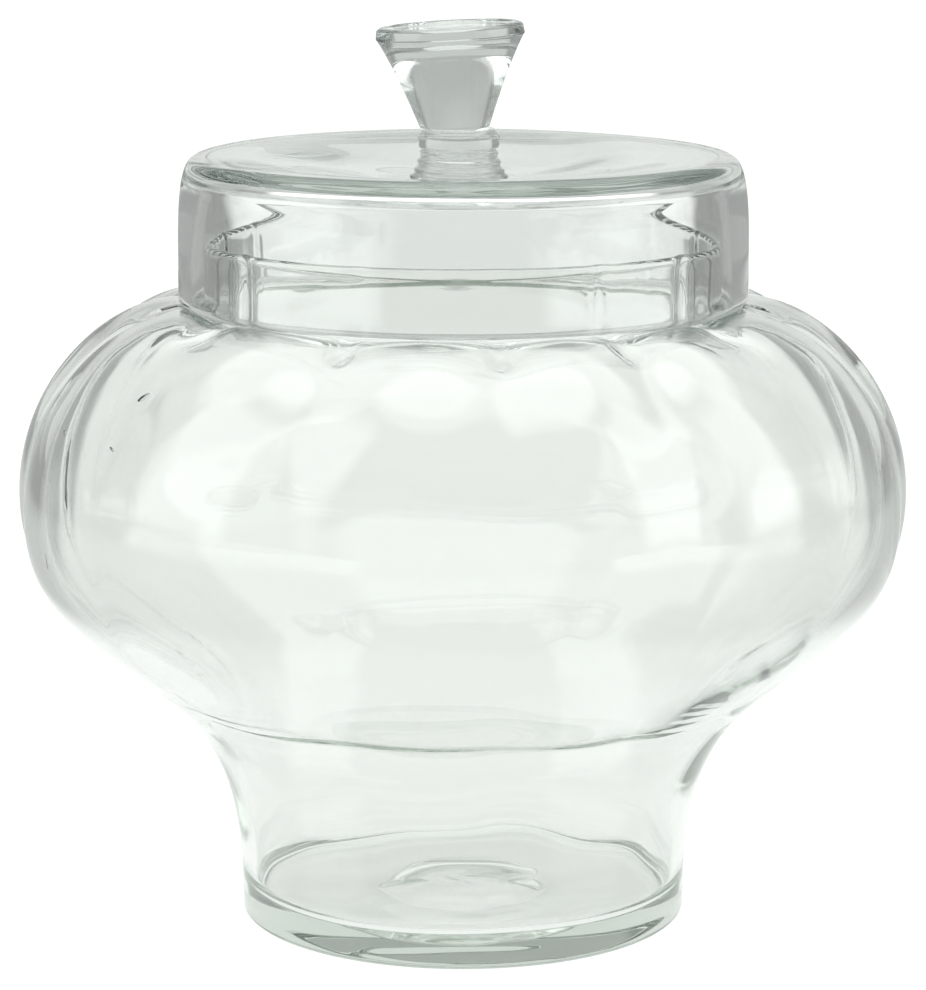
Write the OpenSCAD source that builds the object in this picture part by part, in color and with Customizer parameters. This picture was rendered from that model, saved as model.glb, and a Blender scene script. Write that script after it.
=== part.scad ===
// Blown glass apothecary jar: a melon-lobed body on a plain foot, with a dished lid that drops over the
// neck and carries a solid flared knob on a small round button. +Z is up and the origin is the centre
// of the base. All sizes are millimetres.

/* [Body] */
// Outer radius of the foot
foot_r = 55.8; // [54:0.2:57.6]
// Outer radius of the flare, where the foot turns into the belly
flare_r = 68.2; // [66:0.2:70]
// Height of that turn
flare_z = 50.4; // [46:0.2:54]
// Slope of the glass there, measured from upright
flare_slope = 37; // [30:1:44]
// Outer radius across the crowns of the lobes, at the widest level
belly_r = 111; // [108:0.5:114]
// Height of the widest level
belly_z = 106; // [103:0.5:109]
// Outer radius of the crease where the shoulder meets the neck
crease_r = 65.2; // [65:0.1:66]
// Height of the crease
crease_z = 154; // [152:0.5:155]
// Fall of the shoulder towards the crease
shoulder_fall = 19; // [10:1:22]
// Outer radius of the neck
neck_r = 63.8; // [62.5:0.1:64]
// Height of the rim
rim_z = 171; // [168:0.5:173]
// Thickness of the blown wall
wall_t = 3.3; // [2.6:0.1:4]
// Thickness of the solid floor at its edge
floor_t = 7.5; // [6:0.5:9]
// Radius of the ground hollow under the base
punt_r = 21; // [15:1:30]
// Depth of the ground hollow
punt_depth = 2.4; // [1:0.2:3]

/* [Lobes] */
// Number of lobes round the belly
lobes = 14; // [12:1:16]
// Depth of the furrows between the lobes at the widest level
furrow_depth = 2.5; // [2:0.5:6]
// Extra depth where each furrow is pinched in beside the neck
pinch_depth = 1.5; // [0:0.5:3]
// Depth of the furrows where they run on up the neck
neck_furrow_depth = 1.2; // [0:0.1:1.5]
// Height at which the furrows fade out above the foot
furrow_start_z = 18; // [16:1:30]

/* [Lid] */
// Outer radius of the skirt
lid_r = 70.4; // [69.8:0.1:71.5]
// Height of the raised edge of the top plate
lid_top_z = 191.3; // [189:0.1:194]
// Depth of the dish in the top plate
dish_depth = 6.2; // [3:0.1:7]
// Thickness of the skirt
skirt_t = 4; // [3:0.1:4.5]
// How far the inside of the skirt draws in towards the top plate
skirt_draw = 1.2; // [0:0.1:2]
// Thickness of the top plate
plate_t = 4.6; // [4:0.1:6]
// Gap between the resting lid and the shoulder
seat_gap = 0.3; // [0.2:0.1:0.6]

/* [Button and knob] */
// Radius of the button
button_r = 10; // [9:0.5:11]
// Radius of the skirt of glass that joins the button to the lid
button_foot_r = 12.4; // [11.5:0.2:13]
// Height of the button
button_h = 12.2; // [10:0.2:13]
// Sideways offset of the button from the middle of the lid
button_shift = -1; // [-2:0.1:2]
// Radius of the knob where it stands on the button
stem_r = 8.4; // [7:0.1:9]
// Radius of the knob over its lip
knob_r = 18.4; // [16:0.2:20]
// Height of the knob along its own axis
knob_h = 25.4; // [20:0.2:26]
// Lean of the knob out of upright
knob_lean = 3; // [0:0.5:6]
// Sideways offset of the knob's foot from the middle of the lid
knob_shift = -1.9; // [-2.5:0.1:2.5]

/* [Hidden] */
$fn = 120;
glass_tint = [0.80, 0.88, 0.86, 0.5];
lid_tint = [0.72, 0.82, 0.84, 0.5];
button_tint = [0.66, 0.76, 0.80, 0.7];
knob_tint = [0.58, 0.66, 0.72, 0.7];

// Steps round one lobe and round the whole body
lobe_steps = 6;
around = lobes * lobe_steps;
// Steps up each curve of the body
flare_steps = 5;
belly_steps = 7;
shoulder_steps = 8;
// Radius of the worn lower edge of the foot, and of the ground edges of the rim
foot_edge = 1.4;
rim_edge = 0.8;
// Radius of the corner between wall and floor, and rise of the floor to its middle
floor_corner = 3.5;
floor_rise = 1;
// Radius of the ball that cuts the hollow under the base
punt_ball_r = (punt_r * punt_r + punt_depth * punt_depth) / (2 * punt_depth);
// How far out from the crease the furrows reach full depth, and where the pinch is deepest
furrow_run = 16;
pinch_out = 9;
pinch_spread = 5;

// Dimensions of the lid that follow from the above
dish_z = lid_top_z - dish_depth;
dish_flat_r = 13;
lid_curl_r = lid_r - skirt_t / 2;

// Cubic curve through a and d, pulled towards b and c, and its direction of travel
function curve(a, b, c, d, t) =
    pow(1 - t, 3) * a + 3 * pow(1 - t, 2) * t * b + 3 * (1 - t) * t * t * c + pow(t, 3) * d;
function curve_way(a, b, c, d, t) =
    pow(1 - t, 2) * (b - a) + 2 * (1 - t) * t * (c - b) + t * t * (d - c);
function unit(v) = v / norm(v);
// 0 below a, 1 above b, and a smooth step between
function ease(a, b, x) = let (k = max(0, min(1, (x - a) / (b - a)))) k * k * (3 - 2 * k);

// The outside of the body as stations from foot to crease, each [radius, height, normal r, normal z]
function stations(a, b, c, d, steps, last = 0) = [
    for (i = [0 : steps - 1 + last])
        let (p = curve(a, b, c, d, i / steps), w = unit(curve_way(a, b, c, d, i / steps)))
            [p.x, p.y, w.y, -w.x]
];
foot_top = [foot_r, foot_edge];
turn = [flare_r, flare_z];
turn_way = [sin(flare_slope), cos(flare_slope)];
widest = [belly_r, belly_z];
crease = [crease_r, crease_z];
crease_way = [cos(shoulder_fall), sin(shoulder_fall)];
body_side = concat(
    stations(foot_top, foot_top + [0, 0.5 * (flare_z - foot_edge)], turn - 15 * turn_way, turn, flare_steps),
    stations(turn, turn + 24 * turn_way, widest - [0, 30], widest, belly_steps),
    stations(widest, widest + [0, 33], crease + 17 * crease_way, crease, shoulder_steps, last = 1)
);

// Where a point of the even ring of lobes lies on the blown body, whose lobes are not quite even
function drift(s) = s + 2.4 + 4 * cos(2 * s - 65) + 3.6 * cos(3 * s + 49) - 90;
// 1 in a furrow and 0 on the crown of a lobe
function furrow(s) = 1 - abs(sin(lobes * s / 2));
// Depth of the furrows at a station
function depth_at(st) =
    st[1] <= belly_z
        ? furrow_depth * ease(furrow_start_z, 0.9 * belly_z, st[1])
        : furrow_depth * ease(crease_r, crease_r + furrow_run, st[0])
            + pinch_depth * exp(-pow((st[0] - crease_r - pinch_out) / pinch_spread, 2))
                * ease(crease_r, crease_r + pinch_out / 2, st[0]);
// One point on a station, a step j round the body and inset from the outer surface
function ring_point(st, j, inset) =
    let (s = 360 * j / around, in = inset + depth_at(st) * furrow(s), r = st[0] - in * st[2], a = drift(s))
        [r * cos(a), r * sin(a), st[1] - in * st[3]];
function ring(st, inset = 0) = [for (j = [0 : around - 1]) ring_point(st, j, inset)];
// A level ring, dented towards the axis at each furrow
function level_ring(r, z, dent = 0) = [
    for (j = [0 : around - 1])
        let (s = 360 * j / around, a = drift(s), in = r - dent * furrow(s))
            [in * cos(a), in * sin(a), z]
];

// Closed outline of the glass, from the middle of the base, up the outside, over the rim and down inside
inner_neck_r = neck_r - wall_t;
inner_first = 2;
inner_foot = body_side[inner_first];
inner_wall_r = inner_foot[0] - wall_t * inner_foot[2];
corner_r = inner_wall_r - 0.9;
foot_rings = [level_ring(foot_r - foot_edge, 0), level_ring(foot_r - 0.3 * foot_edge, 0.3 * foot_edge)];
shoulder_end = len(body_side) - 2;
outer_rings = [for (i = [0 : shoulder_end]) ring(body_side[i])];
neck_dent = neck_furrow_depth;
rim_dent = 0.4 * neck_furrow_depth;
neck_rings = [
    level_ring(crease_r, crease_z, neck_dent),
    level_ring(neck_r, crease_z + 1.2, neck_dent),
    level_ring(neck_r, rim_z - 3, neck_dent),
    level_ring(neck_r, rim_z - rim_edge, rim_dent),
    level_ring(neck_r - rim_edge, rim_z, rim_dent),
    level_ring(inner_neck_r + rim_edge, rim_z, rim_dent),
    level_ring(inner_neck_r, rim_z - rim_edge, rim_dent),
    level_ring(inner_neck_r, rim_z - 3, neck_dent),
    level_ring(inner_neck_r, crease_z - 1.5, neck_dent),
    level_ring(inner_neck_r + 0.6, crease_z - 3.6, neck_dent)
];
inner_rings = [for (i = [shoulder_end : -1 : inner_first]) ring(body_side[i], wall_t)];
floor_rings = [
    for (k = [30, 60, 90])
        level_ring(corner_r - floor_corner * (1 - cos(k)), floor_t + floor_corner * (1 - sin(k))),
    level_ring(0.6 * corner_r, floor_t + 0.5 * floor_rise),
    level_ring(0.2 * corner_r, floor_t + floor_rise)
];
body_rings = concat(foot_rings, outer_rings, neck_rings, inner_rings, floor_rings);
body_points = [for (r = body_rings) each r];
last_ring = len(body_rings) - 1;
body_faces = concat(
    [[for (j = [0 : around - 1]) j]],
    [
        for (i = [0 : last_ring - 1], j = [0 : around - 1])
            let (k = (j + 1) % around, a = i * around + j, b = i * around + k, c = a + around, d = b + around)
                each [[a, c, b], [b, c, d]]
    ],
    [[for (j = [around - 1 : -1 : 0]) last_ring * around + j]]
);

// Height of the shoulder under the lid's edge, at the crown of a lobe, and of that edge above it
shoulder_last = body_side[shoulder_end];
shoulder_z = lookup(lid_curl_r, [crease, [shoulder_last[0], shoulder_last[1]]]);
seat_z = shoulder_z + seat_gap;

// Outline of the lid, half a section from the axis: dished top, rounded shoulder, skirt and curled edge
dish_edge_r = lid_r - 7;
function dish_point(r, down = 0) = [r, dish_z - down + dish_depth * ease(dish_flat_r, dish_edge_r, r)];
lid_corner = dish_point(dish_edge_r);
lid_side = [lid_r, lid_top_z - 22];
inner_corner_r = 3;
plate_inner_r = lid_r - skirt_t - skirt_draw - inner_corner_r;
plate_inner_z = dish_point(plate_inner_r, plate_t).y;
lid_outline = concat(
    [[0, dish_z]],
    [for (k = [0 : 10]) dish_point(dish_flat_r + (dish_edge_r - dish_flat_r) * k / 10)],
    [
        for (k = [1 : 10])
            curve(lid_corner, lid_corner + [4.5, 0.1], [lid_r, lid_top_z - 1.5], lid_side, k / 10)
    ],
    [[lid_r - 0.2, seat_z + 5]],
    [
        for (k = [0 : 15 : 180])
            [lid_curl_r + skirt_t / 2 * cos(k) - 0.6 * sin(k / 2), seat_z + skirt_t / 2 * (1 - sin(k))]
    ],
    [[lid_r - skirt_t, seat_z + 6], [lid_r - skirt_t, lid_side.y]],
    [
        for (k = [0 : 18 : 90])
            [plate_inner_r + inner_corner_r * cos(k), plate_inner_z - inner_corner_r * (1 - sin(k))]
    ],
    [for (k = [8 : -1 : 0]) dish_point(dish_flat_r + (plate_inner_r - dish_flat_r) * k / 9, plate_t)],
    [[0, dish_z - plate_t]]
);

// Outline of the button: a skirt of glass drawn out over the lid, a rounded side and a flat top
button_outline = concat(
    [[0, 0], [button_foot_r, 0]],
    [
        for (k = [1 : 6])
            curve([button_foot_r, 0], [button_r + 0.2, 0.8], [button_r, 1.6], [button_r, 3.6], k / 6)
    ],
    [
        for (k = [0 : 15 : 90])
            [button_r - 1.5 + 1.5 * cos(k), button_h - 2.4 + 2.4 * sin(k)]
    ],
    [[0, button_h]]
);

// Outline of the knob: a near-straight cone that widens to a rolled lip round a shallow hollow
lip_r = 1.7;
stem_sink = 3;
flank_top = [knob_r, knob_h - 1.6 * lip_r];
knob_outline = concat(
    [[0, -stem_sink], [stem_r, -stem_sink]],
    [
        for (k = [0 : 8])
            curve([stem_r, 0], [stem_r + 2.6, 7], [knob_r - 4, 0.62 * knob_h], flank_top, k / 8)
    ],
    [
        for (k = [30 : 30 : 120])
            [knob_r - lip_r + lip_r * cos(k), knob_h - lip_r + lip_r * sin(k)]
    ],
    [[0.8 * knob_r, knob_h - 0.9], [0.5 * knob_r, knob_h - 1.3], [0, knob_h - 1.4]]
);

// Blown body: foot, flare, lobed belly, shoulder and neck in one wall, with a ground hollow below
module jar_body() {
    color(glass_tint)
        difference() {
            polyhedron(points = body_points, faces = body_faces, convexity = 8);
            translate([0, 0, punt_depth - punt_ball_r])
                sphere(r = punt_ball_r);
        }
}

// Lid: a dished plate with a deep skirt that drops over the neck and rests on the shoulder
module lid() {
    color(lid_tint)
        rotate_extrude()
            polygon(lid_outline);
}

// Button fused to the middle of the lid
module knob_button() {
    color(button_tint)
        translate([button_shift, 0, dish_z])
            rotate_extrude()
                polygon(button_outline);
}

// Knob: a leaning solid cone cut flat where it stands on the button
module knob() {
    stand_z = dish_z + button_h;
    color(knob_tint)
        difference() {
            translate([knob_shift, 0, stand_z])
                rotate([0, -knob_lean, 0])
                    rotate_extrude()
                        polygon(knob_outline);
            translate([-knob_r, -knob_r, stand_z - 2 * stem_sink])
                cube([2 * knob_r, 2 * knob_r, 2 * stem_sink]);
        }
}

jar_body();
lid();
knob_button();
knob();
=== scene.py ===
import math

import bpy
import numpy as np
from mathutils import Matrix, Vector


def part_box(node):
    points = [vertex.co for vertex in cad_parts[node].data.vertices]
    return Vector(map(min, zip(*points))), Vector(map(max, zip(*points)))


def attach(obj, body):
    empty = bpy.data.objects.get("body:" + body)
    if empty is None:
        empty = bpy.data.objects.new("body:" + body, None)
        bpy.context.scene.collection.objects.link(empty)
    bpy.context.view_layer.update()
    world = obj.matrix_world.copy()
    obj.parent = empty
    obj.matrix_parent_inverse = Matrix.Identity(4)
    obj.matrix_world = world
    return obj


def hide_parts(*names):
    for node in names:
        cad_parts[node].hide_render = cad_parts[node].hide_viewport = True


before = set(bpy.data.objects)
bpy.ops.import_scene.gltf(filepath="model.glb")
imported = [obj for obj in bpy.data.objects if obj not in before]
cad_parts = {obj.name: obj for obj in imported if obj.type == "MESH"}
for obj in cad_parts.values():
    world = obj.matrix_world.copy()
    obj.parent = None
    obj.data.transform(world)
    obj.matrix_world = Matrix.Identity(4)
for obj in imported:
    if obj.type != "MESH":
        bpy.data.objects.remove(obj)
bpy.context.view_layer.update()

# Looks for the apothecary jar: four pieces of clear blown glass on a pale floor. All sizes are metres.
# The shapes follow the CAD model closely on far finer meshes, with the unevenness of hand work. Small ones
# such as the rounding of the rim and the depth of the furrows are settled here for their looks.

MM = 0.001

# ---------------------------------------------------------------- dimensions from the frame

_, jar_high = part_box("jar_body")
lid_low, lid_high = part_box("lid")
button_low, button_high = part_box("knob_button")

RIM_Z = jar_high.z
LID_R = lid_high.x
LID_TOP = lid_high.z
SEAT_Z = lid_low.z
DISH_Z = button_low.z
BUTTON_TOP = button_high.z
BUTTON_FOOT_R = (button_high.x - button_low.x) / 2
BUTTON_X = (button_high.x + button_low.x) / 2

# ---------------------------------------------------------------- driving dimensions of the glass

# The body: radii and heights of the turns of its outline, and the slope of the glass at two of them
FOOT_R = 55.8 * MM
FOOT_EDGE = 1.4 * MM
FLARE = np.array([68.2, 50.4]) * MM
FLARE_SLOPE = math.radians(37)
BELLY = np.array([111.0, 106.0]) * MM
CREASE = np.array([65.2, 154.0]) * MM
SHOULDER_FALL = math.radians(19)
NECK_R = 63.8 * MM
RIM_EDGE = 1.6 * MM

# How far the handles of its curves reach: below and above the flare and the belly, out from the crease,
# and up from the crease and down from the rim along the neck
FLARE_REACH = (15 * MM, 24 * MM)
BELLY_REACH = (30 * MM, 33 * MM)
SHOULDER_REACH = 17 * MM
NECK_REACH = (4 * MM, 6 * MM)

# The small fillet in the crease: the reach of its handles, and where it starts on the shoulder and ends
# on the neck
CREASE_PULL = 1.8 * MM
CREASE_OUT = 1.2 * MM
CREASE_UP = 2.2 * MM

# The wall: heavier low down, a little thinner at the belly and thinner still at the neck, as shares of WALL
WALL = 3.3 * MM
LOW_EXTRA = 0.18
LOW_Z = 30 * MM
LOW_SPREAD = 22 * MM
BELLY_LESS = 0.06
BELLY_SPREAD = 25 * MM
NECK_LESS = 0.34
NECK_THINS = (CREASE[1] - 22 * MM, CREASE[1] + 2 * MM)

# The bottom, and the rough hollow under it
BOTTOM_T = 7.5 * MM
BOTTOM_CORNER = 4.0 * MM
BOTTOM_RISE = 1.0 * MM
PUNT_R = 21 * MM
PUNT_DEPTH = 2.4 * MM

# The furrows between the lobes, the dimples at their heads and the grooves up the neck
LOBES = 14
FURROW_DEPTH = 2.4 * MM
FURROW_START = (36 * MM, 62 * MM)
FURROW_DEEPEN_Z = 78 * MM
FURROW_RUN = 16 * MM
FURROW_SOFT = 0.34
PINCH_DEPTH = 1.5 * MM
PINCH_OUT = 10 * MM
PINCH_SPREAD = 5 * MM
DIMPLE_WIDTH = math.radians(2.0)
NECK_FURROW = 1.2 * MM
NECK_FURROW_FADE = 4 * MM
GROOVE_WIDTH = math.radians(2.0)

# A ring of heavier glass inside the wall, where the lobes end
RING_Z = 57 * MM
RING_RISE = 0.45 * MM
RING_SPREAD = 1.8 * MM

# The lid: its dished top, the skirt and how far the skirt's inside draws in towards the plate
DISH_DEPTH = LID_TOP - DISH_Z
DISH_FLAT_R = 13 * MM
DISH_EDGE_R = LID_R - 7 * MM
SIDE_DROP = 22 * MM
SKIRT_T = 4 * MM
SKIRT_DRAW = 1.2 * MM
PLATE_T = 4.6 * MM
INNER_CORNER_R = 3 * MM
LID_INSET = 0.16 * MM

# The button, with its soft rings, which come in and go out with height and are only in its side
BUTTON_R = 10 * MM
BUTTON_TOE = 0.5 * MM
BUTTON_WAIST_Z = 7.2 * MM
BUTTON_CROWN_R = BUTTON_R - 1.5 * MM
BUTTON_RING_STEP = 2.15 * MM
BUTTON_RING_DEPTH = 0.55 * MM
BUTTON_RING_START = (0.5 * MM, 1.6 * MM)
BUTTON_RING_END = (7.0 * MM, 7.6 * MM)
BUTTON_SIDE_R = 8 * MM

# The knob
STEM_R = 8.4 * MM
KNOB_R = 18.4 * MM
KNOB_H = 25.4 * MM
KNOB_LEAN = math.radians(3)
KNOB_X = -1.9 * MM
LIP_R = 1.7 * MM

# Outlines that end in the middle of a piece stop this far out, where one point closes them
MIDDLE_R = 0.5 * MM

# Separate pieces of glass stand this far apart, so that no two faces lie in one plane
AIR_GAP = 0.05 * MM

# ---------------------------------------------------------------- curves


def cubic(a, b, c, d, count, last=False):
    """Points along a Bezier curve; the end point is left to the next curve unless last is set."""
    t = np.linspace(0, 1, count, endpoint=last)[:, None]
    return (1 - t) ** 3 * a + 3 * (1 - t) ** 2 * t * b + 3 * (1 - t) * t * t * c + t ** 3 * d


def arc(centre, radius, start_deg, end_deg, count):
    """Points along a circular arc in the section plane, both ends included."""
    k = np.radians(np.linspace(start_deg, end_deg, count))
    return np.stack([centre[0] + radius * np.cos(k), centre[1] + radius * np.sin(k)], axis=1)


def flat(start_r, end_r, z, count):
    """Points along a level line of a section."""
    return np.stack([np.linspace(start_r, end_r, count), np.full(count, z)], axis=1)


def turn_points(count):
    """Angles of points spread evenly round a piece."""
    return np.radians(np.arange(count) * 360 / count)


def turned(r, z, s):
    """Points at the angles s round the Z axis, for every radius and height of a section."""
    return np.stack([r * np.cos(s), r * np.sin(s), z + 0 * s], axis=2)


def point(*values):
    """A point of a section, as radius and height, or a point in space."""
    return np.array(values, float)


def ease(a, b, x):
    """0 below a, 1 above b, and a smooth step between."""
    k = np.clip((x - a) / (b - a), 0, 1)
    return k * k * (3 - 2 * k)


def bump(centre, spread, x):
    """1 at the centre, fading smoothly to 0 on both sides."""
    return np.exp(-((x - centre) / spread) ** 2)


def ripple(terms, turn, r, z):
    """Soft waves round a piece. Each term is size, waves per turn, change with r and with z, and start."""
    return sum(size * np.sin(count * turn + per_r * r + per_z * z + start)
               for size, count, per_r, per_z, start in terms)


def normals(path):
    """Outward normals of a section that is walked with the glass on its left."""
    way = np.gradient(path, axis=0)
    way /= np.linalg.norm(way, axis=1)[:, None]
    return np.stack([way[:, 1], -way[:, 0]], axis=1)


def grid_normals(grid):
    """Outward normals of a surface given as rings from low to high, each run anticlockwise."""
    along = np.roll(grid, -1, axis=1) - np.roll(grid, 1, axis=1)
    up = np.gradient(grid, axis=0)
    cross = np.cross(along, up)
    return cross / np.linalg.norm(cross, axis=2)[:, :, None]


# ---------------------------------------------------------------- meshes


def shell(rings, first):
    """Points and faces of one closed surface, whose first and last ring close to a point."""
    count, around = rings.shape[0], rings.shape[1]
    poles = np.stack([rings[0].mean(axis=0), rings[-1].mean(axis=0)])
    points = np.concatenate([rings.reshape(-1, 3), poles])
    first_pole = first + count * around
    faces = []
    for i in range(count - 1):
        low, high = first + i * around, first + (i + 1) * around
        for j in range(around):
            k = (j + 1) % around
            faces.append((low + j, low + k, high + k, high + j))
    top = first + (count - 1) * around
    for j in range(around):
        k = (j + 1) % around
        faces.append((first + j, first_pole, first + k))
        faces.append((top + j, top + k, first_pole + 1))
    return points, faces


def glass_mesh(name, *shells):
    """A smooth mesh of one outer shell and any air bubbles inside it, which are walked the other way."""
    points, faces = [], []
    for rings in shells:
        more_points, more_faces = shell(rings, len(points))
        points.extend(more_points.tolist())
        faces.extend(more_faces)
    mesh = bpy.data.meshes.new(name)
    mesh.from_pydata(points, [], faces)
    mesh.shade_smooth()
    piece = bpy.data.objects.new(name, mesh)
    bpy.context.scene.collection.objects.link(piece)
    return piece


# ---------------------------------------------------------------- body

AROUND = LOBES * 20

# The points crowd together at the furrows
CROWDING = 0.55
even_s = turn_points(AROUND)
turn_s = even_s - CROWDING * np.sin(LOBES * even_s) / LOBES

# Where each of them lies on the blown body, whose lobes are not quite even
DRIFT = turn_s + np.radians(2.4 - 90 + 4 * np.cos(2 * turn_s - np.radians(65))
                            + 3.6 * np.cos(3 * turn_s + np.radians(49)))

# Unevenness of the furrows, as shares of their depth, and of the wall in millimetres, as terms for ripple()
LOBE_SWELL = [(0.10, 3, 0, 0, 1.3), (0.08, 5, 0, 0, 0.4)]
WALL_SWIRL = [(0.16, 3, 0, 40, 0.6), (0.12, 7, 0, -95, 2.1), (0.05, 13, 0, 110, 4.0)]

# The heights over which the wall's unevenness comes in and goes out again
SWIRL_START = (10 * MM, 30 * MM)
SWIRL_END = (CREASE[1] - 8 * MM, CREASE[1] - 2 * MM)

# Hair-fine flutes inside the neck: how many, how deep, and the heights over which they come in
FLUTES = 90
FLUTE_DEPTH = 0.012 * MM
FLUTE_START = (CREASE[1], CREASE[1] + 4 * MM)

# Bubbles in the belly's wall: direction, height, half length, half width, half depth, turn of the length
SEEDS = [
    (math.radians(218.2), 141.0 * MM, 2.0 * MM, 0.9 * MM, 0.45 * MM, math.radians(40)),
    (math.radians(217.6), 129.0 * MM, 1.5 * MM, 0.3 * MM, 0.3 * MM, math.radians(-15)),
    (math.radians(206.5), 129.4 * MM, 0.8 * MM, 0.35 * MM, 0.3 * MM, math.radians(-30)),
    (math.radians(204.7), 97.7 * MM, 2.2 * MM, 0.3 * MM, 0.3 * MM, math.radians(86)),
]


def at_drift(r, z):
    """Points round the body at radius r and height z."""
    return np.stack([r * np.cos(DRIFT), r * np.sin(DRIFT), z], axis=-1)


def furrow_shape():
    """1 in the furrows, 0 on the crowns of the lobes, with the bottom of the furrow rounded off."""
    top = math.sqrt(1 + FURROW_SOFT ** 2)
    return (top - np.sqrt(np.sin(LOBES * turn_s / 2) ** 2 + FURROW_SOFT ** 2)) / (top - FURROW_SOFT)


def groove(width):
    """1 along the bottom of each furrow, fading to 0 over width radians on each side."""
    off = (turn_s * LOBES / (2 * math.pi) + 0.5) % 1 - 0.5
    return bump(0, width, off * 2 * math.pi / LOBES)


def body_outside():
    """The outside of the body's section, from the foot's edge to just under the rim."""
    foot = point(FOOT_R, FOOT_EDGE)
    foot_pull = foot + point(0, 0.5 * (FLARE[1] - FOOT_EDGE))
    flare_way = point(math.sin(FLARE_SLOPE), math.cos(FLARE_SLOPE))
    crease_way = point(math.cos(SHOULDER_FALL), math.sin(SHOULDER_FALL))
    crease_end = CREASE + CREASE_OUT * crease_way
    crease_pull = crease_end - CREASE_PULL * crease_way
    shoulder_pull = CREASE + SHOULDER_REACH * crease_way
    neck = point(NECK_R, CREASE[1] + CREASE_UP)
    rim = point(NECK_R, RIM_Z - RIM_EDGE)
    rim_pull = point(NECK_R, RIM_Z - NECK_REACH[1])
    parts = [
        cubic(foot, foot_pull, FLARE - FLARE_REACH[0] * flare_way, FLARE, 26),
        cubic(FLARE, FLARE + FLARE_REACH[1] * flare_way, BELLY - point(0, BELLY_REACH[0]), BELLY, 34),
        cubic(BELLY, BELLY + point(0, BELLY_REACH[1]), shoulder_pull, crease_end, 44),
        cubic(crease_end, crease_pull, neck - point(0, CREASE_PULL), neck, 8),
        cubic(neck, neck + point(0, NECK_REACH[0]), rim_pull, rim, 12, last=True),
    ]
    return np.concatenate(parts)


def furrow_depth(path):
    """How deep the furrows are at each point of the section."""
    r, z = path[:, 0], path[:, 1]
    below = FURROW_DEPTH * (0.25 * ease(*FURROW_START, z) + 0.75 * ease(FURROW_DEEPEN_Z, BELLY[1], z))
    above = FURROW_DEPTH * ease(0, FURROW_RUN, r - CREASE[0])
    return np.where(z <= BELLY[1], below, above)


def groove_depth(path):
    """How deep the dimples on the shoulder are, and the narrow grooves that run down the neck to them."""
    r, z = path[:, 0], path[:, 1]
    out = r - CREASE[0]
    dimple = PINCH_DEPTH * bump(PINCH_OUT, PINCH_SPREAD, out)
    fade = 1 - 0.8 * ease(RIM_Z - NECK_FURROW_FADE, RIM_Z, z)
    neck = NECK_FURROW * (1 - ease(0, 0.6 * PINCH_OUT, out)) * fade
    return np.where(z > BELLY[1], dimple, 0), np.where(z > BELLY[1], neck, 0)


def seed_rings(outer, inner, angle, height, half_long, half_wide, half_deep, turn):
    """A flat bubble drawn out along the glass, a little under its outer face."""
    off_angle = (np.arctan2(outer[:, :, 1], outer[:, :, 0]) - angle + math.pi) % (2 * math.pi) - math.pi
    miss = (BELLY[0] * off_angle) ** 2 + (outer[:, :, 2] - height) ** 2
    place = np.unravel_index(miss.argmin(), miss.shape)
    out = outer[place] - inner[place]
    centre = inner[place] + 0.6 * out
    out /= np.linalg.norm(out)
    across = np.cross((0, 0, 1), out)
    across /= np.linalg.norm(across)
    along = across * math.cos(turn) + np.cross(out, across) * math.sin(turn)
    wide = np.cross(out, along)
    s = turn_points(24)[:, None]
    rings = []
    for k in np.radians(np.linspace(80, -80, 13)):
        side = half_wide * np.cos(s) * wide + half_deep * np.sin(s) * out
        rings.append(centre + half_long * math.sin(k) * along + math.cos(k) * side)
    return np.array(rings)


def wall_thickness(height):
    """Thickness of the wall: heavier low down, thinner at the neck, and uneven as blown glass is."""
    wall = WALL * (1 + LOW_EXTRA * bump(LOW_Z, LOW_SPREAD, height)
                   - BELLY_LESS * bump(BELLY[1], BELLY_SPREAD, height)
                   - NECK_LESS * ease(*NECK_THINS, height))
    swirl = ripple(WALL_SWIRL, turn_s[None, :], 0, height[:, None]) * MM
    swirl *= (ease(*SWIRL_START, height) * (1 - ease(*SWIRL_END, height)))[:, None]
    flutes = FLUTE_DEPTH * np.sin(FLUTES * turn_s + 3 * np.sin(5 * turn_s))[None, :]
    flutes = flutes * ease(*FLUTE_START, height)[:, None]
    uneven = (1 + 0.3 * np.sin(2 * turn_s + 2.0))[None, :]
    ring = RING_RISE * bump(RING_Z, RING_SPREAD, height)[:, None] * uneven
    return wall[:, None] + swirl + flutes + ring


def body_walls():
    """Rings of the outside and of the inside of the wall, from the foot to the rim."""
    outside = body_outside()
    out_normal = normals(outside)
    dimple, neck = groove_depth(outside)
    # The neck's grooves are deepest at both sides of the jar, and faint in front and at the back
    sides = np.cos(DRIFT) ** 2 * (1 - 0.9 * ease(-0.15, 0.35, np.sin(DRIFT)))
    furrows = furrow_shape() * (1 + ripple(LOBE_SWELL, turn_s, 0, 0))
    dent = furrow_depth(outside)[:, None] * furrows[None, :]
    dent += dimple[:, None] * (groove(DIMPLE_WIDTH) * (0.8 + 0.4 * sides))[None, :]
    dent += neck[:, None] * (groove(GROOVE_WIDTH) * (0.15 + 0.85 * sides))[None, :]
    r = outside[:, 0:1] - dent * out_normal[:, 0:1]
    z = outside[:, 1:2] - dent * out_normal[:, 1:2]
    outer = at_drift(r, z)
    inner = outer - grid_normals(outer) * wall_thickness(outside[:, 1])[:, :, None]
    return outer, inner


def rim_rings(outer, inner):
    """A half round between the top rings of both walls."""
    middle = (outer[-1] + inner[-1]) / 2
    half = (outer[-1] - inner[-1]) / 2
    rise = RIM_Z - outer[-1][:, 2]
    rings = []
    for k in np.radians(np.linspace(0, 180, 11)[1:-1]):
        lift = np.zeros_like(middle)
        lift[:, 2] = rise * math.sin(k)
        rings.append(middle + half * math.cos(k) + lift)
    return np.array(rings)


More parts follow.
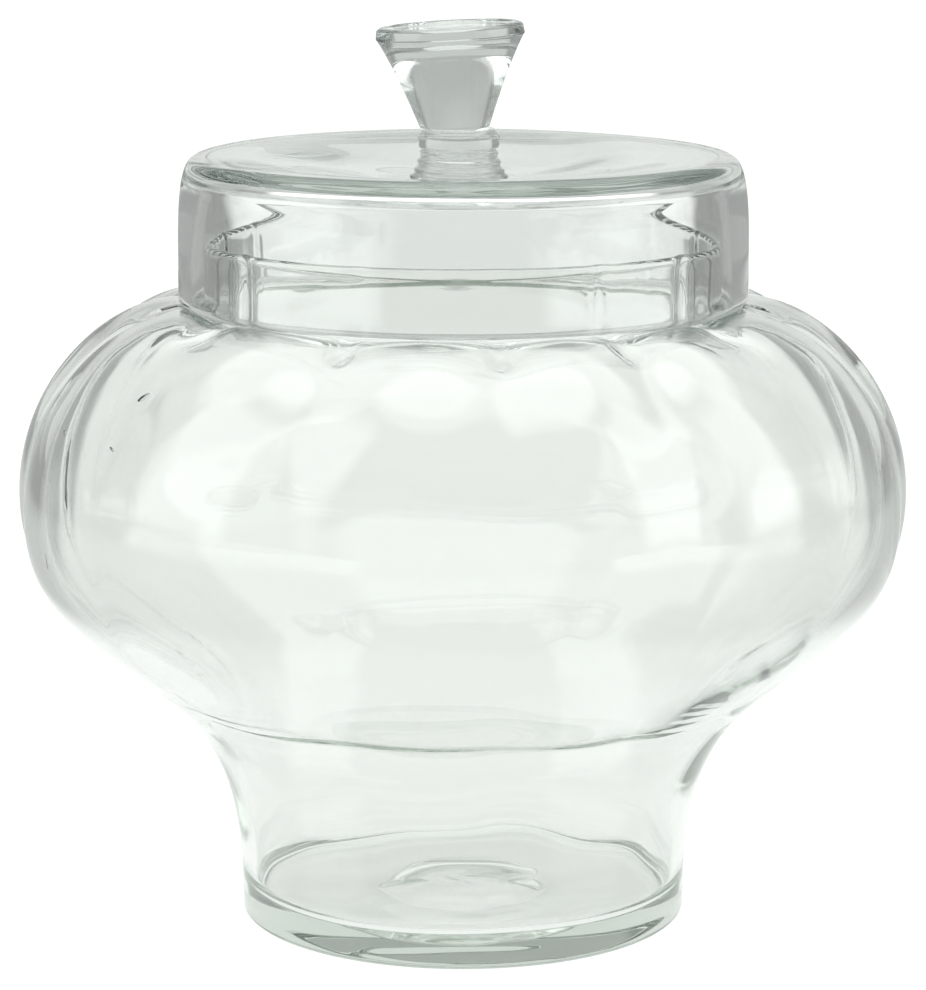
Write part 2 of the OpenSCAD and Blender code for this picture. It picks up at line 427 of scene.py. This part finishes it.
def bottom_rings(wall_ring):
    """The inside of the bottom: a round corner at the wall, then nearly flat to the middle."""
    rings = []
    corner_r = np.linalg.norm(wall_ring[:, :2], axis=1)
    for k in np.radians(np.linspace(10, 90, 9)):
        r = corner_r - BOTTOM_CORNER * (1 - math.cos(k))
        z = BOTTOM_T + 0.2 * MM * np.sin(4 * turn_s + 1) + BOTTOM_CORNER * (1 - math.sin(k))
        rings.append(at_drift(r, z))
    edge = rings[-1]
    edge_r = np.linalg.norm(edge[:, :2], axis=1)
    uneven = 1 + 0.5 * np.sin(2 * turn_s + 0.5)
    for share in np.linspace(0.94, 0.02, 24):
        rise = BOTTOM_RISE * (1 - share ** 2) + 0.35 * MM * bump(0.36, 0.12, share) * uneven
        rings.append(at_drift(edge_r * share, edge[:, 2] * share + BOTTOM_T * (1 - share) + rise))
    return np.array(rings)


def base_rings():
    """The base: a rough hollow, a flat ring and the worn edge of the foot."""
    rings = []
    oval = 1 + 0.10 * np.cos(2 * turn_s + 0.4) + 0.04 * np.cos(5 * turn_s + 1) + 0.02 * np.cos(9 * turn_s)
    for share in np.concatenate([np.linspace(0.04, 0.8, 12), np.linspace(0.84, 1.0, 6)]):
        z = PUNT_DEPTH * (1 - share ** 4) * (1 + 0.12 * np.sin(3 * turn_s + 6 * share) * share)
        rings.append(at_drift(PUNT_R * oval * share, z))
    ring_r = np.linalg.norm(rings[-1][:, :2], axis=1)
    for share in (0.03, 0.3, 0.65, 1.0):
        rings.append(at_drift(ring_r + (FOOT_R - FOOT_EDGE - ring_r) * share, np.zeros(AROUND)))
    for r, z in arc((FOOT_R - FOOT_EDGE, FOOT_EDGE), FOOT_EDGE, -80, -10, 6):
        rings.append(at_drift(r, np.full(AROUND, z)))
    return np.array(rings)


def body_shells():
    """The body's skin, from the middle of the base round to the middle of the bottom, and its bubbles."""
    outer, inner = body_walls()
    bottom_start = int(np.argmax(inner[:, :, 2].min(axis=1) > BOTTOM_T + BOTTOM_CORNER))
    inner_up = inner[bottom_start:][::-1]
    skin = [base_rings(), outer, rim_rings(outer, inner), inner_up, bottom_rings(inner[bottom_start])]
    return [np.concatenate(skin)] + [seed_rings(outer, inner, *seed) for seed in SEEDS]


# ---------------------------------------------------------------- lid

# Unevenness of the lid, in millimetres, as terms for ripple(), and the radii over which it comes in
LID_WOBBLE = [(0.10, 2, 120, 60, 0), (0.07, 3, -210, 0, 1.0), (0.04, 7, 0, 90, 2.0)]
WOBBLE_START = (2 * MM, 16 * MM)


def dish(r, down=0.0):
    """Points of the dished top at radius r, or of the underside when they are moved down by the plate."""
    return np.stack([r, DISH_Z - down + DISH_DEPTH * ease(DISH_FLAT_R, DISH_EDGE_R, r)], axis=1)


def lid_section():
    """The outline of the lid, from the middle of its underside round to the middle of its top."""
    curl_r = SKIRT_T / 2
    plate_r = LID_R - SKIRT_T - SKIRT_DRAW - INNER_CORNER_R
    plate_z = dish(np.array([plate_r]), PLATE_T)[0][1]
    top_edge = dish(np.array([DISH_EDGE_R]))[0]
    side = point(LID_R, LID_TOP - SIDE_DROP)
    curl = arc((LID_R - curl_r, SEAT_Z + curl_r), curl_r, 0, -180, 17)
    inner_side = point(LID_R - SKIRT_T, plate_z - 14 * MM)
    inner_corner = point(plate_r + INNER_CORNER_R, plate_z - INNER_CORNER_R)
    parts = [
        dish(np.linspace(MIDDLE_R, DISH_EDGE_R, 44)),
        cubic(top_edge, top_edge + point(4.5, 0.1) * MM, point(LID_R, LID_TOP - 1.5 * MM), side, 30)[1:],
        cubic(side, side - point(0, 5 * MM), curl[0] + point(0.1, 6) * MM, curl[0], 10),
        curl,
        cubic(curl[-1], curl[-1] + point(0.2, 6) * MM, inner_side, inner_corner, 20)[1:],
        arc((plate_r, plate_z - INNER_CORNER_R), INNER_CORNER_R, 0, 90, 13),
        dish(np.linspace(plate_r, MIDDLE_R, 40), PLATE_T)[1:],
    ]
    return np.concatenate(parts)[::-1]


def lid_rings():
    """The lid's outline turned round, a little uneven, and set in by about as much."""
    s = turn_points(240)
    section = lid_section()
    normal = normals(section)
    r, z = section[:, 0:1], section[:, 1:2]
    outer_part = ease(*WOBBLE_START, r)
    inset = ripple(LID_WOBBLE, s, r, z) * MM * outer_part + LID_INSET * outer_part
    return turned(r - inset * normal[:, 0:1], z - inset * normal[:, 1:2], s)


# ---------------------------------------------------------------- button and knob


def button_section():
    """A drawn-out foot, a side that is nearly straight, a smooth bulge above it and a flat top."""
    low, top = DISH_Z + AIR_GAP, BUTTON_TOP
    toe = 0.2 * MM
    foot_r = BUTTON_FOOT_R - BUTTON_TOE
    foot = point(BUTTON_FOOT_R - toe, low + 2 * toe)
    foot_pull = point(BUTTON_R + 1.0 * MM, low + 1.6 * MM)
    waist_pull = point(BUTTON_R + 0.2 * MM, low + 4.6 * MM)
    waist = point(BUTTON_R - 0.5 * MM, low + BUTTON_WAIST_Z)
    bulge_low = point(BUTTON_R + 0.5 * MM, low + 8.2 * MM)
    bulge_high = point(BUTTON_R + 0.4 * MM, top - 0.6 * MM)
    parts = [
        flat(MIDDLE_R, foot_r, low, 14),
        arc((foot_r, low + toe), toe, -60, 30, 4),
        cubic(foot, foot_pull, waist_pull, waist, 56)[1:],
        cubic(waist, bulge_low, bulge_high, point(BUTTON_CROWN_R, top), 20),
        flat(BUTTON_CROWN_R, MIDDLE_R, top, 12),
    ]
    return np.concatenate(parts)


def button_rings():
    """The button's outline turned round, with soft rings pressed into its side."""
    s = turn_points(160)
    section = button_section()
    normal = normals(section)
    r, z = section[:, 0:1], section[:, 1:2]
    height = z - (DISH_Z + AIR_GAP)
    side = ease(*BUTTON_RING_START, height) * (1 - ease(*BUTTON_RING_END, height)) * (r > BUTTON_SIDE_R)
    steps = height / BUTTON_RING_STEP + 0.10 * np.sin(s + 0.8) + 0.05 * np.sin(3 * s)
    inset = BUTTON_RING_DEPTH * (0.5 - 0.5 * np.cos(2 * math.pi * steps)) ** 0.7 * side
    return turned(r - inset * normal[:, 0:1], z - inset * normal[:, 1:2], s) + point(BUTTON_X, 0, 0)


def knob_section():
    """A cone with nearly straight sides and a rolled lip round a shallow hollow, upright, from z = 0."""
    flank_end = point(KNOB_R, KNOB_H - 1.6 * LIP_R)
    flank_pulls = point(STEM_R + 2.6 * MM, 7 * MM), point(KNOB_R - 4 * MM, 0.62 * KNOB_H)
    hollow_edge = point(0.845 * KNOB_R, KNOB_H - 0.55 * MM)
    hollow_pulls = point(0.8 * KNOB_R, KNOB_H - 1.0 * MM), point(0.6 * KNOB_R, KNOB_H - 1.3 * MM)
    hollow_middle = point(MIDDLE_R, KNOB_H - 1.4 * MM)
    parts = [
        cubic(point(STEM_R, 0), *flank_pulls, flank_end, 46)[1:],
        arc((KNOB_R - LIP_R, KNOB_H - 1.6 * LIP_R), LIP_R, 0, 30, 4)[:-1],
        arc((KNOB_R - LIP_R, KNOB_H - LIP_R), LIP_R, 30, 118, 12),
        cubic(hollow_edge, *hollow_pulls, hollow_middle, 22, last=True),
    ]
    return np.concatenate(parts)


def knob_rings():
    """The knob's outline turned round, a little out of round towards the top, and leaning on its foot."""
    s = turn_points(160)
    section = knob_section()
    r, z = section[:, 0:1] + 0 * s, section[:, 1:2] + 0 * s
    up = np.clip(section[:, 1:2] / KNOB_H, 0, 1)
    r = r * (1 - 0.006 * up * (1 + np.sin(3 * s + 0.7)) - 0.003 * up * (1 + np.sin(7 * s + 6 * up)))
    x, y = r * np.cos(s), r * np.sin(s)
    # The lean turns the cone about Y where it stands on the button
    lean_x = x * math.cos(KNOB_LEAN) - z * math.sin(KNOB_LEAN)
    lean_z = x * math.sin(KNOB_LEAN) + z * math.cos(KNOB_LEAN)
    cone = np.stack([lean_x, y, np.maximum(lean_z, AIR_GAP)], axis=2)
    foot_r = STEM_R * np.array([0.05, 0.3, 0.55, 0.75, 0.9, 0.97])[:, None]
    foot = turned(foot_r, np.full_like(foot_r, AIR_GAP), s)
    return np.concatenate([foot, cone]) + point(KNOB_X, 0, BUTTON_TOP)


# ---------------------------------------------------------------- materials

GLASS_IOR = 1.5

# Faint waves in every face
WAVE_SCALE = 38.0
WAVE_HEIGHT = 0.03 * MM

# The rubbed glass: its grain and greatest roughness, the heights over which it fades out above the edge,
# how far outside its inner radius it is at its full, and how broad the rubbed ring of the foot is
RUB_SCALE = 900.0
RUB_ROUGH = 0.16
RUB_FADE = (0.05 * MM, 0.4 * MM)
RUB_EDGE = 1 * MM
RUBBED_RING = 3 * MM

# Its patches: the range of the grain, and the share of the roughness at each end of it
RUB_PATCHES = (0.3, 0.7, 0.4, 1.0)

# Tone at each face, and the tint of the glass and how strong it is in its depth
BODY_TONE = (0.905, 0.91, 0.90)
BODY_TINT = (0.46, 0.54, 0.46)
BODY_DENSITY = 7.0
LID_TONE = (0.93, 0.932, 0.93)
LID_TINT = (0.46, 0.54, 0.49)
LID_DENSITY = 9.0
SOLID_TONE = (0.945, 0.945, 0.945)
SOLID_TINT = (0.46, 0.51, 0.49)
SOLID_DENSITY = 14.0


class Nodes:
    """Short forms for the arithmetic of a node tree."""

    def __init__(self, tree):
        self.tree = tree

    def add(self, kind, **values):
        node = self.tree.nodes.new(kind)
        for key, item in values.items():
            setattr(node, key, item)
        return node

    def feed(self, slot, item):
        """Set a socket to a value, or link it to another node's output."""
        if isinstance(item, (int, float, tuple)):
            slot.default_value = item
        else:
            self.tree.links.new(item, slot)

    def split(self, vector):
        """The three parts of a vector."""
        node = self.add("ShaderNodeSeparateXYZ")
        self.feed(node.inputs[0], vector)
        return node.outputs

    def math(self, kind, *items):
        node = self.add("ShaderNodeMath", operation=kind)
        for slot, item in zip(node.inputs, items):
            self.feed(slot, item)
        return node.outputs[0]

    def product(self, a, b):
        return self.math("MULTIPLY", a, b)

    def length(self, x, y):
        """How far a place is from the Z axis."""
        return self.math("SQRT", self.math("ADD", self.product(x, x), self.product(y, y)))

    def step(self, source, low, high, at_low, at_high):
        """A smooth change from at_low to at_high as source goes from low to high."""
        node = self.add("ShaderNodeMapRange", interpolation_type="SMOOTHSTEP")
        for slot, item in zip(node.inputs, (source, low, high, at_low, at_high)):
            self.feed(slot, item)
        return node.outputs["Result"]

    def mix(self, share, a, b):
        """a where share is 0, b where it is 1."""
        return self.math("ADD", a, self.product(share, self.math("SUBTRACT", b, a)))


def rubbed_glass(kit, where, stand_z, inner_r, mark_r):
    """Roughness of a rubbed edge at stand_z, outside inner_r, and of a mark in the base, within mark_r."""
    x, y, z = kit.split(where)
    away = kit.length(x, y)
    fade_low, fade_high = RUB_FADE
    rubbed = kit.product(kit.step(z, stand_z + fade_low, stand_z + fade_high, 1.0, 0.0),
                         kit.step(away, inner_r, inner_r + RUB_EDGE, 0.0, 1.0))
    if mark_r:
        mark = kit.product(kit.step(away, 0.9 * mark_r, 1.1 * mark_r, 1.0, 0.0),
                           kit.step(z, 1.1 * PUNT_DEPTH, 1.5 * PUNT_DEPTH, 1.0, 0.0))
        rubbed = kit.math("MAXIMUM", rubbed, mark)
    grain = kit.add("ShaderNodeTexNoise")
    kit.feed(grain.inputs["Vector"], where)
    kit.feed(grain.inputs["Scale"], RUB_SCALE)
    patchy = kit.step(grain.outputs[0], *RUB_PATCHES)
    return kit.product(kit.product(rubbed, patchy), RUB_ROUGH)


def clear_glass(name, tone, tint, density, rub=None):
    """Clear polished glass with faint waves in its faces and a tint in its depth.

    rub is the height and inner radius of the edge it stands on, and the radius of a rough mark, or 0.
    """
    material = bpy.data.materials.new(name)
    material.use_nodes = True
    material.node_tree.nodes.clear()
    kit = Nodes(material.node_tree)
    output = kit.add("ShaderNodeOutputMaterial")
    shader = kit.add("ShaderNodeBsdfPrincipled")
    shader.inputs["Base Color"].default_value = (*tone, 1)
    shader.inputs["Transmission Weight"].default_value = 1.0
    shader.inputs["IOR"].default_value = GLASS_IOR
    where = kit.add("ShaderNodeTexCoord").outputs["Object"]
    kit.feed(shader.inputs["Roughness"], rubbed_glass(kit, where, *rub) if rub else 0.0)

    waves = kit.add("ShaderNodeTexNoise")
    kit.feed(waves.inputs["Vector"], where)
    kit.feed(waves.inputs["Scale"], WAVE_SCALE)
    kit.feed(waves.inputs["Detail"], 1.0)
    bend = kit.add("ShaderNodeBump")
    kit.feed(bend.inputs["Distance"], WAVE_HEIGHT)
    kit.feed(bend.inputs["Height"], waves.outputs[0])
    kit.feed(shader.inputs["Normal"], bend.outputs[0])

    absorb = kit.add("ShaderNodeVolumeAbsorption")
    absorb.inputs["Color"].default_value = (*tint, 1)
    absorb.inputs["Density"].default_value = density
    kit.feed(output.inputs["Surface"], shader.outputs["BSDF"])
    kit.feed(output.inputs["Volume"], absorb.outputs["Volume"])
    return material


def dress(piece, body, slot, material, *nodes):
    """Give a piece its material, hang it on the empty of the body that carries it, and hide the CAD nodes
    it stands for.
    """
    piece.data.materials.append(material)
    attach(piece, body)
    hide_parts(*nodes)


# ---------------------------------------------------------------- pieces

body_rub = (0.0, FOOT_R - RUBBED_RING, PUNT_R)
lid_rub = (SEAT_Z, 0.0, 0.0)
body_glass = clear_glass("blown_glass", BODY_TONE, BODY_TINT, BODY_DENSITY, body_rub)
lid_glass = clear_glass("lid_glass", LID_TONE, LID_TINT, LID_DENSITY, lid_rub)
solid_glass = clear_glass("solid_glass", SOLID_TONE, SOLID_TINT, SOLID_DENSITY)

dress(glass_mesh("jar_body_glass", *body_shells()), "jar", "blown_glass", body_glass, "jar_body")
dress(glass_mesh("lid_glass", lid_rings()), "lid", "lid_glass", lid_glass, "lid")
dress(glass_mesh("button_glass", button_rings()), "lid", "solid_glass", solid_glass, "knob_button")
dress(glass_mesh("knob_glass", knob_rings()), "lid", "solid_glass", solid_glass, "knob")

# ---------------------------------------------------------------- stage

STUDIO_TINT = (0.995, 1.03, 1.005, 1)

# The floor: a paint that is nearly black, and the glow it gives off, which is painted light, so the jar
# casts no shadow on it
FLOOR_HALF = 30
FLOOR_DROP = 0.1 * MM
FLOOR_PAINT = (0.06, 0.06, 0.06, 1)
FLOOR_ROUGH = 0.9
FLOOR_SHINE = 0.1

# The painted light of the floor: a white glow round the jar, where its shadow would fall, and behind it a
# strip that widens with y, its sides meeting where the camera stands
PAINTED_LIGHT_LEVEL = 0.98
PAINTED_LIGHT_ROUND = (0.14, 0.19)
PAINTED_LIGHT_START = (-0.14, -0.08)
PAINTED_LIGHT_HALF = 0.113475
PAINTED_LIGHT_WIDEN = 0.125
PAINTED_LIGHT_EDGE = (0.006, 0.07)

# The dimmer painted glow outside the white patch: near, then far away at the back, at the sides and at the
# front
FLOOR_REACH = (0.6, 1.2)
FLOOR_NEAR = 0.54
FLOOR_BACK = 0.29
FLOOR_SIDE = 1.4
FLOOR_FRONT = 0.35
SIDE_EDGE = (math.radians(76), math.radians(86))
FRONT_EDGE = (math.radians(140), math.radians(150))

# The room by direction: low and high at the back, outside the back, in front and overhead
ROOM_BACK = 0.76
ROOM_BACK_HIGH = 0.58
ROOM_FLANK = 0.36
ROOM_FRONT = 0.55
ROOM_TOP = 0.70
HIGH_EDGE = (math.radians(12), math.radians(22))
BACK_EDGE = (math.radians(38), math.radians(46))
TURN_EDGE = (math.radians(80), math.radians(90))
TOP_EDGE = (math.radians(42), math.radians(50))

# Soft lights, in degrees: centre round from the back, half width, low and high edge, soft edge; then level
SOFT_LIGHTS = [
    (0, 88, 44, 78, 3, 1.5),
    (-103, 25, 1, 60, 4, 1.9),
    (97, 22, 1, 58, 4, 1.9),
    (0, 200, 68, 100, 3, 2.3),
]


def floor_glow(kit):
    """How bright the floor glows, as painted light: white under the jar, where its shadow would fall, and
    behind it, and softer tones elsewhere.
    """
    x, y, _ = kit.split(kit.add("ShaderNodeTexCoord").outputs["Object"])
    away = kit.length(x, y)
    off_back = kit.math("ABSOLUTE", kit.math("ARCTAN2", x, y))
    far = kit.step(off_back, *SIDE_EDGE, FLOOR_BACK, FLOOR_SIDE)
    far = kit.step(off_back, *FRONT_EDGE, far, FLOOR_FRONT)
    level = kit.step(away, *FLOOR_REACH, FLOOR_NEAR, far)
    # Painted light: a white glow round the jar, where its shadow would fall, and a strip behind it that
    # widens with y
    under = kit.step(away, *PAINTED_LIGHT_ROUND, 1.0, 0.0)
    half = kit.math("ADD", kit.product(y, PAINTED_LIGHT_WIDEN), PAINTED_LIGHT_HALF)
    past_edge = kit.math("SUBTRACT", kit.math("ABSOLUTE", x), half)
    painted_light_strip = kit.product(kit.step(past_edge, *PAINTED_LIGHT_EDGE, 1.0, 0.0), kit.step(y, *PAINTED_LIGHT_START, 0.0, 1.0))
    return kit.mix(kit.math("MAXIMUM", under, painted_light_strip), level, PAINTED_LIGHT_LEVEL)


def build_floor():
    """A wide floor bright with its own painted glow, a hair below the jar's foot."""
    mesh = bpy.data.meshes.new("floor")
    corners = [(-1, -1), (1, -1), (1, 1), (-1, 1)]
    mesh.from_pydata([(FLOOR_HALF * x, FLOOR_HALF * y, 0) for x, y in corners], [], [(0, 1, 2, 3)])
    floor = bpy.data.objects.new("floor", mesh)
    floor.location.z = -FLOOR_DROP
    bpy.context.scene.collection.objects.link(floor)
    material = bpy.data.materials.new("floor")
    material.use_nodes = True
    kit = Nodes(material.node_tree)
    shader = material.node_tree.nodes["Principled BSDF"]
    shader.inputs["Roughness"].default_value = FLOOR_ROUGH
    shader.inputs["Specular IOR Level"].default_value = FLOOR_SHINE
    shader.inputs["Base Color"].default_value = FLOOR_PAINT
    shader.inputs["Emission Color"].default_value = STUDIO_TINT
    # Painted light: the floor's brightness comes from its own glow
    kit.feed(shader.inputs["Emission Strength"], floor_glow(kit))
    floor.data.materials.append(material)


def band(kit, source, low, high, soft):
    """1 between low and high degrees and 0 outside, with soft edges."""
    up = kit.step(source, math.radians(low - soft), math.radians(low + soft), 0.0, 1.0)
    down = kit.step(source, math.radians(high - soft), math.radians(high + soft), 1.0, 0.0)
    return kit.product(up, down)


def build_world():
    """The room by direction: a grey surround and four soft lights."""
    world = bpy.data.worlds.new("studio")
    bpy.context.scene.world = world
    world.use_nodes = True
    kit = Nodes(world.node_tree)
    background = world.node_tree.nodes["Background"]
    background.inputs["Color"].default_value = STUDIO_TINT
    x, y, z = kit.split(kit.add("ShaderNodeTexCoord").outputs["Generated"])
    across = kit.math("ARCTAN2", x, y)
    off_back = kit.math("ABSOLUTE", across)
    rise = kit.math("ARCSINE", z)

    back = kit.step(rise, *HIGH_EDGE, ROOM_BACK, ROOM_BACK_HIGH)
    total = kit.step(off_back, *BACK_EDGE, back, ROOM_FLANK)
    total = kit.step(off_back, *TURN_EDGE, total, ROOM_FRONT)
    total = kit.step(rise, *TOP_EDGE, total, ROOM_TOP)
    for centre, half, low, high, soft, level in SOFT_LIGHTS:
        off_centre = kit.math("SUBTRACT", across, math.radians(centre))
        shape = kit.product(band(kit, off_centre, -half, half, soft), band(kit, rise, low, high, soft))
        total = kit.mix(shape, total, level)
    kit.feed(background.inputs["Strength"], total)


build_floor()
build_world()

# ---------------------------------------------------------------- camera

CAMERA_AT = Vector((0, -0.9078, 0.28234))
CAMERA_PITCH = math.radians(11.011)
CAMERA_LENS = 134.6

# Light passes many faces of clear glass one after another
BOUNCES = 96

camera = bpy.data.objects.new("camera", bpy.data.cameras.new("camera"))
camera.data.lens = CAMERA_LENS
camera.data.sensor_width = 36
camera.location = CAMERA_AT
camera.rotation_euler = (math.pi / 2 - CAMERA_PITCH, 0, 0)
bpy.context.scene.collection.objects.link(camera)
bpy.context.scene.camera = camera

scene = bpy.context.scene
scene.view_settings.view_transform = "Standard"
scene.cycles.max_bounces = BOUNCES
scene.cycles.transmission_bounces = BOUNCES
scene.cycles.glossy_bounces = BOUNCES
scene.cycles.diffuse_bounces = 3
scene.cycles.use_denoising = True
